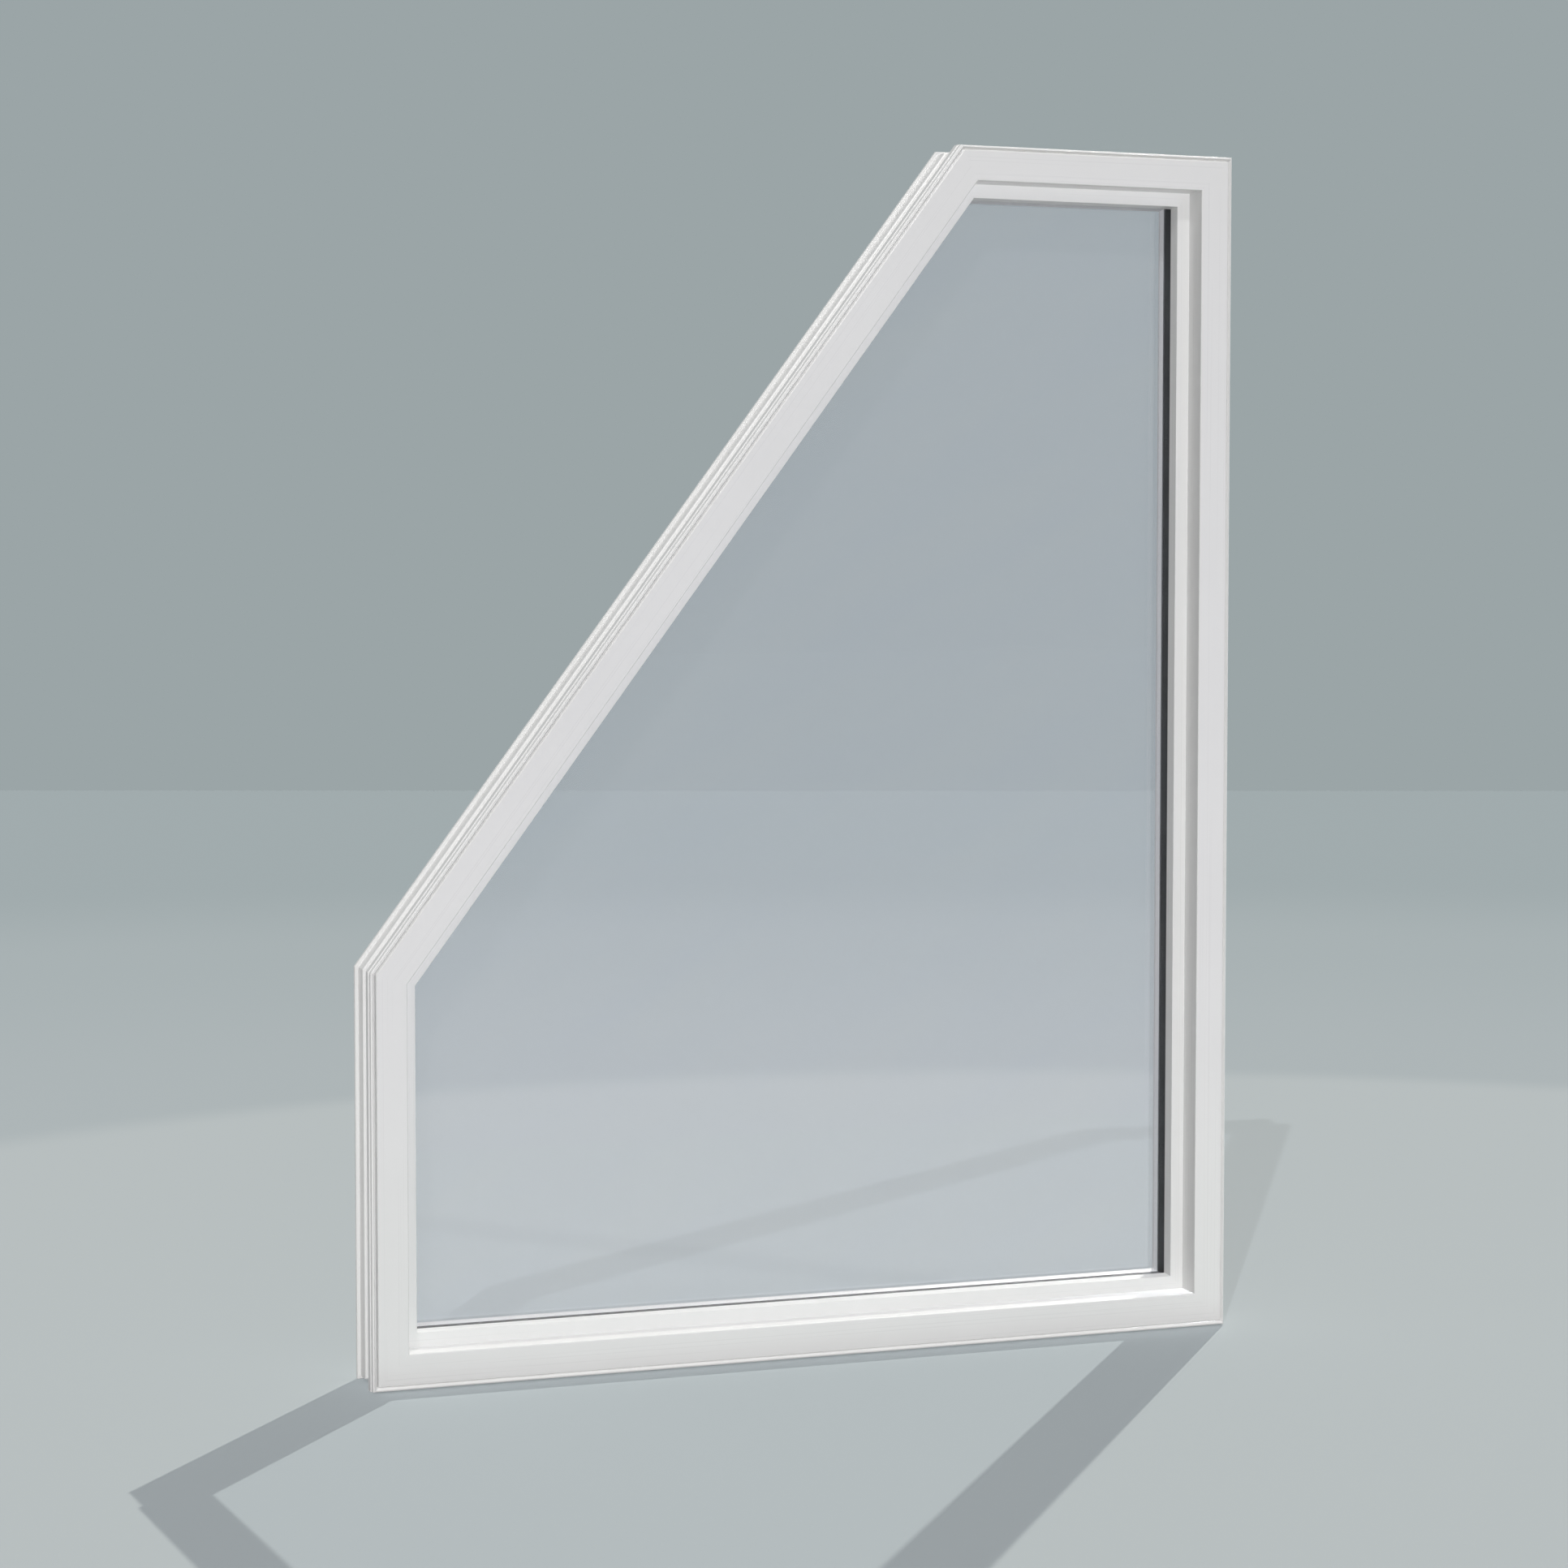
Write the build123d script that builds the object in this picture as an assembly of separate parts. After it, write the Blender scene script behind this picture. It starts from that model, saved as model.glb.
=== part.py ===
from build123d import *
import os

# Five-sided fixed window: a welded frame of hollow plastic section, a sealed double
# glazed unit, and glazing beads clipped in from the front.
# X runs to the right, Y into the wall, Z up, and the weather side faces -Y.
# The origin is on the sill's front flange underneath, at mid width. Millimetres.

# Outline
overall_width = 1143.0
overall_height = 1524.0
left_height = 508.0
head_length = 381.0

# Frame section: insets run inwards from the outline, depths run back from the front face
frame_depth = 90.0
face_inset = 7.1
face_width = 38.2
reveal_draft = 0.7
wall = 2.0
face_round = 1.6
rear_round = 1.8

# Lip outside the front face: its crest is level with the face, a step goes back outside
# the crest, and a bevel leads from it into the slot along the face
foot_inset = 1.2
step_width = 1.9
step_depth = 4.2
crest_width = 0.9
crest_round = 0.35
lip_bevel_width = 2.1
lip_bevel_depth = 3.0
slot_depth = 8.0

# Flange behind the lip, which stands furthest out
flange_front = 12.5
flange_width = 11.3
flange_round = 0.5

# Fixing channel round the outside, and the block behind it with its rear flange
channel_inset = 14.8
rear_block_depth = 29.3
rear_block_inset = 4.8
rear_flange_thickness = 5.4
rear_flange_draft = 0.7
rib_thickness = 2.4
rib_height = 1.5
rib_round = 1.9

# Glass unit
glass = 3.0
unit_thickness = 25.4
unit_clearance = 4.6
sealant_width = 4.0
spacer_width = 7.0

# Bead, seals and the inner leg that the unit is bedded on
bead_width = 17.2
bead_slope = 1.8
bead_depth = 16.2
bead_wall = 1.6
bead_round = 0.7
seal_thickness = 2.1
seal_width = 7.0
tape_thickness = 1.2
tape_width = 7.0
leg_width = 18.2
leg_depth = 10.8
leg_bevel_width = 2.6
leg_bevel_depth = 6.0
leg_round = 1.2

# Setting blocks under the unit, placed from the ends of the sill to their middles
block_length = 100.0
block_distance = 286.0

# Worked out from the sizes above, the glass unit from the back of the frame forwards
face_inner_inset = face_inset + face_width
pocket_inset = face_inner_inset + reveal_draft
leg_inset = pocket_inset + leg_width
leg_front = frame_depth - leg_depth
unit_back = leg_front - tape_thickness
unit_front = unit_back - unit_thickness
bead_back = unit_front - seal_thickness
reveal_depth = bead_back - bead_depth
toe_inset = pocket_inset + bead_width
heel_inset = toe_inset + bead_slope
unit_inset = pocket_inset + unit_clearance
cavity_front = unit_front + glass
cavity_back = unit_back - glass
spacer_inset = unit_inset + sealant_width
sight_inset = spacer_inset + spacer_width
flange_back = flange_front + flange_width
channel_back = frame_depth - rear_block_depth
rear_flange_front = frame_depth - rear_flange_thickness
seat_depth = (flange_front + flange_back) / 2

half_width = overall_width / 2
outline = [
    (-half_width, 0),
    (half_width, 0),
    (half_width, overall_height),
    (half_width - head_length, overall_height),
    (-half_width, left_height),
]
sides = ["sill", "right_jamb", "head", "sloping_head", "left_jamb"]


def direction(side):
    """Unit vector along a side of the outline, with the inside of the window on its left."""
    x1, z1 = outline[side % 5]
    x2, z2 = outline[(side + 1) % 5]
    return Vector(x2 - x1, 0, z2 - z1).normalized()


def inward(side):
    """Unit vector square to a side, pointing into the window."""
    along = direction(side)
    return Vector(-along.Z, 0, along.X)


def corner(number, inset, depth):
    """Corner of the outline after every side has moved inwards by the inset."""
    x, z = outline[number % 5]
    before = inward(number - 1)
    after = inward(number)
    shift = (before + after) * (inset / (1 + before.dot(after)))
    return Vector(x, depth - seat_depth, z) + shift


def slab(inset, front, back):
    """Five-sided sheet with its edge at one inset all round."""
    points = [corner(number, inset, front) for number in range(5)]
    return extrude(make_face(Polyline(*points, close=True)), amount=back - front, dir=(0, 1, 0))


def mitre_wedge(side):
    """The share of the ring that belongs to one side, between the planes that halve its corners."""
    reach = leg_inset + wall
    front = -wall
    points = [
        corner(side, -wall, front),
        corner(side + 1, -wall, front),
        corner(side + 1, reach, front),
        corner(side, reach, front),
    ]
    return extrude(make_face(Polyline(*points, close=True)), amount=frame_depth + 2 * wall, dir=(0, 1, 0))


def member(section, side):
    """Run a section along one side and mitre both ends. Section points are (inset, -depth)."""
    start = corner(side, 0, 0)
    length = (corner(side + 1, 0, 0) - start).length
    plane = Plane(origin=start, x_dir=inward(side), z_dir=direction(side))
    return extrude(plane * section, amount=length) & mitre_wedge(side)


def polygon(*points):
    """Flat shape through (inset, depth) points."""
    return make_face(Polyline(*[(inset, -depth) for inset, depth in points], close=True))


def block(inset1, depth1, inset2, depth2):
    return polygon((inset1, depth1), (inset2, depth1), (inset2, depth2), (inset1, depth2))


def rounded(shape, radius, *points):
    """Round the corners of a flat shape that lie at the (inset, depth) points."""
    picked = [shape.vertices().sort_by_distance(Vector(inset, -depth))[0] for inset, depth in points]
    return fillet(picked, radius)


def frame_section():
    """Outer skin of the frame section less its chambers."""
    crest_outer = foot_inset + step_width
    crest_inner = crest_outer + crest_width
    slot_outer = crest_inner + lip_bevel_width
    rib_inner = rear_block_inset + rib_thickness
    channel_end = channel_back + rib_height
    skin = polygon(
        (face_inset, 0),
        (face_inner_inset, 0),
        (pocket_inset, reveal_depth),
        (pocket_inset, leg_front),
        (leg_inset - leg_bevel_width, leg_front),
        (leg_inset, leg_front + leg_bevel_depth),
        (leg_inset, frame_depth),
        (0, frame_depth),
        (rear_flange_draft, rear_flange_front),
        (rear_block_inset, rear_flange_front),
        (rear_block_inset, channel_back),
        (rib_inner, channel_back),
        (rib_inner, channel_end),
        (channel_inset, channel_end),
        (channel_inset, flange_back),
        (0, flange_back),
        (0, flange_front),
        (foot_inset, flange_front),
        (foot_inset, step_depth),
        (crest_outer, step_depth),
        (crest_outer, 0),
        (crest_inner, 0),
        (slot_outer, lip_bevel_depth),
        (slot_outer, slot_depth),
        (face_inset, slot_depth),
    )
    skin = rounded(skin, face_round, (face_inset, 0), (face_inner_inset, 0))
    skin = rounded(skin, rear_round, (leg_inset, frame_depth), (0, frame_depth))
    skin = rounded(skin, crest_round, (crest_outer, 0), (crest_inner, 0))
    skin = rounded(skin, flange_round, (foot_inset, step_depth), (0, flange_front))
    skin = rounded(skin, flange_round, (rear_flange_draft, rear_flange_front))
    skin = rounded(skin, rib_round, (rear_block_inset, channel_back))
    skin = rounded(skin, leg_round, (leg_inset, leg_front + leg_bevel_depth))
    channel_middle = (flange_back + channel_end) / 2
    chamber_end = pocket_inset - wall
    front_chamber = block(face_inset + wall, wall, face_inner_inset - wall, flange_back - wall)
    foot_chamber = block(foot_inset + wall, slot_depth + wall, face_inset, flange_back - wall)
    flange_chamber = block(wall, flange_front + wall, face_inset, flange_back - wall)
    chambers = [
        rounded(front_chamber, wall / 2, (face_inner_inset - wall, wall), (face_inset + wall, wall)),
        foot_chamber + flange_chamber,
        block(channel_inset + wall, flange_back, chamber_end, channel_middle - wall / 2),
        block(channel_inset + wall, channel_middle + wall / 2, chamber_end, channel_end),
        block(rear_block_inset + wall, channel_end + wall, chamber_end, frame_depth - wall),
        block(pocket_inset, leg_front + wall, leg_inset - leg_bevel_width, frame_depth - wall),
    ]
    for chamber in chambers:
        skin -= chamber
    return skin


def bead_section():
    """Hollow bead with a sloping inner side, square against the reveal."""
    skin = polygon(
        (pocket_inset, reveal_depth),
        (toe_inset, reveal_depth),
        (heel_inset, bead_back),
        (pocket_inset, bead_back),
    )
    skin = rounded(skin, bead_round, (toe_inset, reveal_depth), (heel_inset, bead_back))
    inside = polygon(
        (pocket_inset + bead_wall, reveal_depth + bead_wall),
        (toe_inset - bead_wall, reveal_depth + bead_wall),
        (heel_inset - bead_wall, bead_back - bead_wall),
        (pocket_inset + bead_wall, bead_back - bead_wall),
    )
    return skin - inside


def seal_section():
    """Soft strip between the bead's back and the outer pane."""
    edge = heel_inset - bead_round
    return block(edge - seal_width, bead_back, edge, unit_front)


def spacer_section():
    """Bar that holds the panes apart, set back behind the bead's heel."""
    return block(spacer_inset, cavity_front, sight_inset, cavity_back)


def sealant_section():
    return block(unit_inset, cavity_front, spacer_inset, cavity_back)


def tape_section():
    """Bedding strip between the inner pane and the frame's inner leg."""
    return block(sight_inset - tape_width, unit_back, sight_inset, leg_front)


def setting_blocks():
    """Two blocks near the quarter points of the sill, which carry the glass unit."""
    depth = (unit_front + unit_back) / 2 - seat_depth
    height = (pocket_inset + unit_inset) / 2
    reach = half_width - block_distance
    pad = Box(block_length, unit_thickness, unit_clearance)
    return Compound(children=[Pos(x, depth, height) * pad for x in (-reach, reach)])


nodes = {
    "outer_pane": slab(unit_inset, unit_front, cavity_front),
    "inner_pane": slab(unit_inset, cavity_back, unit_back),
    "setting_blocks": setting_blocks(),
}
sections = {
    "frame": frame_section(),
    "bead": bead_section(),
    "bead_seal": seal_section(),
    "spacer": spacer_section(),
    "edge_sealant": sealant_section(),
    "glazing_tape": tape_section(),
}
for name, section in sections.items():
    for side, side_name in enumerate(sides):
        nodes[f"{name}_{side_name}"] = member(section, side)

os.makedirs("parts", exist_ok=True)
for name, shape in nodes.items():
    export_step(shape, f"parts/{name}.step")
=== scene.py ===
import bpy
import math
from mathutils import Matrix, Vector


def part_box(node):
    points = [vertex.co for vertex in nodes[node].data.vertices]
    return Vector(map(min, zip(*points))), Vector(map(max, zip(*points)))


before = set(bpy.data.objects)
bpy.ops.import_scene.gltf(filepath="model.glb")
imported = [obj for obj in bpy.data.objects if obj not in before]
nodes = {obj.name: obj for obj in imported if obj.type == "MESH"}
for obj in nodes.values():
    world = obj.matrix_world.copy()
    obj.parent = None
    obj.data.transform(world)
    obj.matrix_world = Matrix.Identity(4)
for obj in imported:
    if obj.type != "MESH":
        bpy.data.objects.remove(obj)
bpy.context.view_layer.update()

members = ["sill", "right_jamb", "head", "sloping_head", "left_jamb"]

# Camera, in metres, degrees and, for its sensor, millimetres. It stands left of the window and
# looks slightly down.
image_side = 1932
focal_pixels = 4216.6
sensor_width = 36.0
camera_place = Vector((-1.4991, -4.0045, 0.9598))
camera_yaw = 20.025
camera_pitch = 3.173
camera_roll = 0.016

# Room: the floor ends in a straight line behind the window, square to the camera's heading
heading = Matrix.Rotation(math.radians(-camera_yaw), 4, "Z")
floor_reach = 12.44
floor_front = 40.0
floor_width = 120.0
backdrop = (0.328, 0.376, 0.386)

# Painted pool of light on the floor: tones in rings round a point, lighter in the middle and darker
# outward, each with its reach, and the tone that throws light back
painted_pool_centre = Vector((0.5, 0.0, 0.0))
painted_pool_reach = 2.3
painted_pool_edge = 0.2
painted_light_tones = [
    (painted_pool_reach, (0.470, 0.516, 0.536)),
    (painted_pool_reach + painted_pool_edge, (0.414, 0.463, 0.488)),
    (5.0, (0.390, 0.443, 0.467)),
    (7.2, (0.352, 0.408, 0.432)),
]
floor_bounce = (0.365, 0.365, 0.365)

# Suns: direction towards the lamp, strength, colour, and whether it throws a shadow. Their width
# is in degrees.
suns = {
    "front_fill": ((0.0, -0.89, 0.455), 1.47, (1.0, 1.0, 1.0), False),
    "side_fill": ((-0.3, 0.0, 0.954), 0.5, (1.0, 1.0, 1.0), False),
    "rear_fill": ((0.5, 0.86, 0.1), 0.7, (0.96, 1.0, 1.08), False),
    "side_sun": ((-1.0, 0.0, 0.0), 0.4, (1.0, 1.0, 1.0), True),
    "front_sun": ((-0.39, -0.64, 0.66), 0.5, (1.0, 1.0, 1.0), True),
    "rear_sun": ((0.46, 0.58, 0.67), 1.62, (1.0, 0.96, 0.87), True),
}
sun_width = 0.35
sun_distance = 5.0
sky_strength = 0.18

# Pale panels that the glass mirrors: centre, the way it faces, size and colour. One stands behind
# the camera, and two lie before the window.
panels = {
    "back_panel": ((2.8, -7.5, 1.6), (0, 1, 0), (6.0, 3.2), (0.61, 0.67, 0.96)),
    "far_panel": ((1.6, -4.55, 0.005), (0, 0, 1), (9.0, 5.9), (0.80, 0.75, 1.0)),
    "near_panel": ((1.6, -0.85, 0.005), (0, 0, 1), (9.0, 1.5), (0.81, 1.0, 0.97)),
}
panel_brightness = 1.55

# Surface colours, in pairs that drift into each other, and the tint of light that passes a pane
vinyl_white = (0.840, 0.836, 0.829)
vinyl_shade = (0.818, 0.814, 0.808)
glass_clean = (0.985, 0.985, 1.0)
glass_filmed = (0.975, 0.978, 1.0)
glass_tint = (0.96, 0.97, 0.98)

# Surface detail, in metres: sizes of die lines and of the film on the glass, and depths of relief
die_line_size = (0.9, 0.0016, 0.0016)
film_size = (0.35, 0.35, 0.06)
film_angle = 0.5
vinyl_relief = 0.00001
glass_relief = 0.0002
floor_relief = 0.0005

# Soft pieces: material, colour, bloomed colour, roughness, pores to the metre and depth of a pore
soft_strips = {
    "bead_seal": ("black_seal", (0.014, 0.014, 0.015), (0.020, 0.020, 0.021), 0.6, 900.0, 0.00004),
    "spacer": ("spacer", (0.006, 0.006, 0.006), (0.010, 0.010, 0.010), 0.7, 1500.0, 0.00003),
    "edge_sealant": ("sealant", (0.045, 0.045, 0.045), (0.06, 0.06, 0.06), 0.55, 120.0, 0.0004),
    "glazing_tape": ("glazing_tape", (0.035, 0.035, 0.036), (0.05, 0.05, 0.052), 0.75, 2200.0, 0.00006),
}
block_look = ("block_rubber", (0.07, 0.07, 0.07), (0.095, 0.095, 0.095), 0.65, 500.0, 0.00008)

# Panes: material, share of light that is scattered, and index of refraction
panes = {
    "outer_pane": ("clear_glass", 0.003, 1.2),
    "inner_pane": ("coated_glass", 0.075, 1.62),
}


def run_angle(member):
    """Angle in the window's plane of the direction in which a frame member was extruded."""
    if member in ("sill", "head"):
        return 0.0
    if member != "sloping_head":
        return math.pi / 2
    jamb_low, jamb_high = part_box("frame_left_jamb")
    head_low, head_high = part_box("frame_head")
    return math.atan2(head_high.z - jamb_high.z, head_low.x - jamb_low.x)


def any_ray(tree, first, *others):
    """One for light that comes by a ray of the named kinds, and zero for the rest."""
    path = tree.nodes.new("ShaderNodeLightPath")
    found = path.outputs[first]
    for ray in others:
        either = tree.nodes.new("ShaderNodeMath")
        either.operation = "MAXIMUM"
        tree.links.new(found, either.inputs[0])
        tree.links.new(path.outputs[ray], either.inputs[1])
        found = either.outputs["Value"]
    return found


def looked_at(tree):
    """One for a ray from the camera, also by way of glass or a reflection."""
    return any_ray(tree, "Is Camera Ray", "Is Glossy Ray", "Is Transmission Ray")


class Surface:
    """A node material in the making, with short calls for the nodes that it needs."""

    def __init__(self, name):
        self.material = bpy.data.materials.new(name)
        self.material.use_nodes = True
        self.tree = self.material.node_tree
        self.shader = self.tree.nodes["Principled BSDF"]
        self.place = self.tree.nodes.new("ShaderNodeTexCoord").outputs["Object"]

    def add(self, kind, **values):
        node = self.tree.nodes.new(kind)
        for name, value in values.items():
            setattr(node, name, value)
        return node

    def link(self, output, target):
        self.tree.links.new(output, target)

    def stretched(self, size, angle):
        """Object coordinates divided by a size along and across a direction in the window's plane."""
        mapping = self.add("ShaderNodeMapping", vector_type="TEXTURE")
        mapping.inputs["Rotation"].default_value = (0, -angle, 0)
        mapping.inputs["Scale"].default_value = size
        self.link(self.place, mapping.inputs["Vector"])
        return mapping.outputs["Vector"]

    def noise(self, vector, scale=1.0, detail=3.0, roughness=0.5):
        node = self.add("ShaderNodeTexNoise")
        node.inputs["Scale"].default_value = scale
        node.inputs["Detail"].default_value = detail
        node.inputs["Roughness"].default_value = roughness
        self.link(vector, node.inputs["Vector"])
        return node.outputs["Fac"]

    def ranged(self, value, low, high, start=0.3, end=0.7):
        node = self.add("ShaderNodeMapRange")
        node.inputs["From Min"].default_value = start
        node.inputs["From Max"].default_value = end
        node.inputs["To Min"].default_value = low
        node.inputs["To Max"].default_value = high
        self.link(value, node.inputs["Value"])
        return node.outputs["Result"]

    def blend(self, factor, first, second):
        node = self.add("ShaderNodeMix", data_type="RGBA")
        node.inputs["A"].default_value = (*first, 1)
        node.inputs["B"].default_value = (*second, 1)
        self.link(factor, node.inputs["Factor"])
        return node.outputs["Result"]

    def bump(self, height, distance, strength=1.0, before=None):
        node = self.add("ShaderNodeBump")
        node.inputs["Strength"].default_value = strength
        node.inputs["Distance"].default_value = distance
        self.link(height, node.inputs["Height"])
        if before:
            self.link(before, node.inputs["Normal"])
        return node.outputs["Normal"]


def vinyl(name, angle):
    """White extruded plastic: cloudy tone, die lines along the run and a fine orange-peel grain."""
    surface = Surface(name)
    shader = surface.shader
    clouds = surface.noise(surface.place, scale=5.0, detail=4.0)
    lines = surface.noise(surface.stretched(die_line_size, angle), detail=2.0)
    grain = surface.noise(surface.place, scale=1100.0, detail=2.0)
    tone = surface.blend(surface.ranged(clouds, 0, 1), vinyl_white, vinyl_shade)
    surface.link(tone, shader.inputs["Base Color"])
    surface.link(surface.ranged(lines, low=0.26, high=0.36), shader.inputs["Roughness"])
    grained = surface.bump(grain, vinyl_relief, strength=0.4)
    surface.link(surface.bump(lines, vinyl_relief, strength=0.1, before=grained), shader.inputs["Normal"])
    shader.inputs["IOR"].default_value = 1.52
    return surface.material


def rubber(name, colour, bloom, roughness, pore_scale, pore_depth):
    """Dark soft strip: bloomed patches, a matt skin and fine pores."""
    surface = Surface(name)
    shader = surface.shader
    patches = surface.noise(surface.place, scale=18.0, detail=4.0)
    pores = surface.noise(surface.place, scale=pore_scale, detail=3.0)
    tone = surface.blend(surface.ranged(patches, 0, 1), colour, bloom)
    surface.link(tone, shader.inputs["Base Color"])
    matt = surface.ranged(patches, low=roughness - 0.08, high=roughness + 0.08)
    surface.link(matt, shader.inputs["Roughness"])
    surface.link(surface.bump(pores, pore_depth), shader.inputs["Normal"])
    shader.inputs["IOR"].default_value = 1.5
    return surface.material


def pane_glass(name, haze, ior):
    """Float glass, faintly cool, with a slight roll wave and a wiped film. Lamp light passes it."""
    surface = Surface(name)
    shader = surface.shader
    film = surface.noise(surface.stretched(film_size, film_angle), detail=5.0, roughness=0.6)
    wave = surface.noise(surface.place, scale=2.5, detail=1.0)
    tone = surface.blend(surface.ranged(film, 0, 1), glass_clean, glass_filmed)
    surface.link(tone, shader.inputs["Base Color"])
    smear = surface.ranged(film, low=0.0, high=0.012, start=0.45, end=0.75)
    surface.link(smear, shader.inputs["Roughness"])
    surface.link(surface.bump(wave, glass_relief, strength=0.2), shader.inputs["Normal"])
    shader.inputs["Transmission Weight"].default_value = 1 - haze
    shader.inputs["IOR"].default_value = ior
    passing = surface.add("ShaderNodeBsdfTransparent")
    passing.inputs["Color"].default_value = (*glass_tint, 1)
    mix = surface.add("ShaderNodeMixShader")
    surface.link(any_ray(surface.tree, "Is Shadow Ray", "Is Diffuse Ray"), mix.inputs["Fac"])
    surface.link(shader.outputs["BSDF"], mix.inputs[1])
    surface.link(passing.outputs["BSDF"], mix.inputs[2])
    surface.link(mix.outputs["Shader"], surface.tree.nodes["Material Output"].inputs["Surface"])
    return surface.material


def painted_pool_of_light(surface):
    """Painted pool of light: colour of the floor by its distance from the middle of the pool, lighter in
    the middle and darker outward.
    """
    distance = surface.add("ShaderNodeVectorMath", operation="DISTANCE")
    distance.inputs[1].default_value = painted_pool_centre
    surface.link(surface.place, distance.inputs[0])
    share = surface.add("ShaderNodeMath", operation="DIVIDE")
    share.inputs[1].default_value = floor_reach
    surface.link(distance.outputs["Value"], share.inputs[0])
    painted_tones = surface.add("ShaderNodeValToRGB")
    painted_tones.color_ramp.interpolation = "EASE"
    stops = painted_tones.color_ramp.elements
    while len(stops) < len(painted_light_tones):
        stops.new(1.0)
    for stop, (reach, colour) in zip(stops, painted_light_tones):
        stop.position = reach / floor_reach
        stop.color = (*colour, 1)
    surface.link(share.outputs["Value"], painted_tones.inputs["Fac"])
    return painted_tones.outputs["Color"]


def floor_finish():
    """Matt, faintly grained floor that shows its painted pool of light where it is looked at."""
    surface = Surface("floor")
    shader = surface.shader
    colour = surface.add("ShaderNodeMix", data_type="RGBA")
    colour.inputs["A"].default_value = (*floor_bounce, 1)
    surface.link(looked_at(surface.tree), colour.inputs["Factor"])
    surface.link(painted_pool_of_light(surface), colour.inputs["B"])
    surface.link(colour.outputs["Result"], shader.inputs["Base Color"])
    grain = surface.noise(surface.place, scale=40.0, detail=4.0)
    surface.link(surface.bump(grain, floor_relief, strength=0.2), shader.inputs["Normal"])
    shader.inputs["Roughness"].default_value = 0.8
    shader.inputs["Specular IOR Level"].default_value = 0.0
    return surface.material


def finish_node(name, material):
    data = nodes[name].data
    data.materials.clear()
    data.materials.append(material)


def finish_window():
    for member in members:
        angle = run_angle(member)
        finish_node(f"frame_{member}", vinyl(f"frame_vinyl_{member}", angle))
        finish_node(f"bead_{member}", vinyl(f"bead_vinyl_{member}", angle))
    for part, look in soft_strips.items():
        material = rubber(*look)
        for member in members:
            finish_node(f"{part}_{member}", material)
    finish_node("setting_blocks", rubber(*block_look))
    for pane, look in panes.items():
        finish_node(pane, pane_glass(*look))


def make_floor():
    half = floor_width / 2
    corners = [(-half, -floor_front), (half, -floor_front), (half, floor_reach), (-half, floor_reach)]
    mesh = bpy.data.meshes.new("floor")
    mesh.from_pydata([heading @ Vector((x, y, 0)) for x, y in corners], [], [(0, 1, 2, 3)])
    mesh.materials.append(floor_finish())
    floor = bpy.data.objects.new("floor", mesh)
    bpy.context.scene.collection.objects.link(floor)


def make_world():
    """The backdrop's colour where it is looked at, and a soft even light otherwise."""
    world = bpy.data.worlds.new("studio")
    bpy.context.scene.world = world
    world.use_nodes = True
    tree = world.node_tree
    tree.nodes.clear()
    light = tree.nodes.new("ShaderNodeBackground")
    light.inputs["Color"].default_value = (1, 1, 1, 1)
    light.inputs["Strength"].default_value = sky_strength
    wall = tree.nodes.new("ShaderNodeBackground")
    wall.inputs["Color"].default_value = (*backdrop, 1)
    mix = tree.nodes.new("ShaderNodeMixShader")
    tree.links.new(looked_at(tree), mix.inputs["Fac"])
    tree.links.new(light.outputs["Background"], mix.inputs[1])
    tree.links.new(wall.outputs["Background"], mix.inputs[2])
    output = tree.nodes.new("ShaderNodeOutputWorld")
    tree.links.new(mix.outputs["Shader"], output.inputs["Surface"])


def add_lamp(name, kind, place, facing, colour):
    lamp = bpy.data.objects.new(name, bpy.data.lights.new(name, kind))
    lamp.location = place
    lamp.rotation_euler = Vector(facing).to_track_quat("-Z", "Y").to_euler()
    lamp.data.color = colour
    bpy.context.scene.collection.objects.link(lamp)
    return lamp


def add_sun(name, direction, strength, colour, shadow):
    towards = Vector(direction)
    lamp = add_lamp(name, "SUN", towards * sun_distance, -towards, colour)
    lamp.data.energy = strength
    lamp.data.angle = math.radians(sun_width)
    lamp.data.use_shadow = shadow


def add_panel(name, place, facing, size, colour):
    """Pale panel that shows in gloss and reflections only."""
    lamp = add_lamp(name, "AREA", place, facing, colour)
    lamp.data.shape = "RECTANGLE"
    lamp.data.size, lamp.data.size_y = size
    lamp.data.energy = panel_brightness * math.pi * size[0] * size[1]
    lamp.visible_camera = False
    lamp.visible_diffuse = False
    lamp.visible_transmission = False


def add_camera():
    camera = bpy.data.objects.new("camera", bpy.data.cameras.new("camera"))
    camera.data.sensor_width = sensor_width
    camera.data.lens = focal_pixels * sensor_width / image_side
    tilt = Matrix.Rotation(math.radians(90 - camera_pitch), 4, "X")
    roll = Matrix.Rotation(math.radians(camera_roll), 4, "Z")
    camera.matrix_world = Matrix.Translation(camera_place) @ heading @ tilt @ roll
    bpy.context.scene.collection.objects.link(camera)
    bpy.context.scene.camera = camera


finish_window()
make_floor()
make_world()
for name, values in suns.items():
    add_sun(name, *values)
for name, values in panels.items():
    add_panel(name, *values)
add_camera()
bpy.context.scene.view_settings.view_transform = "Standard"
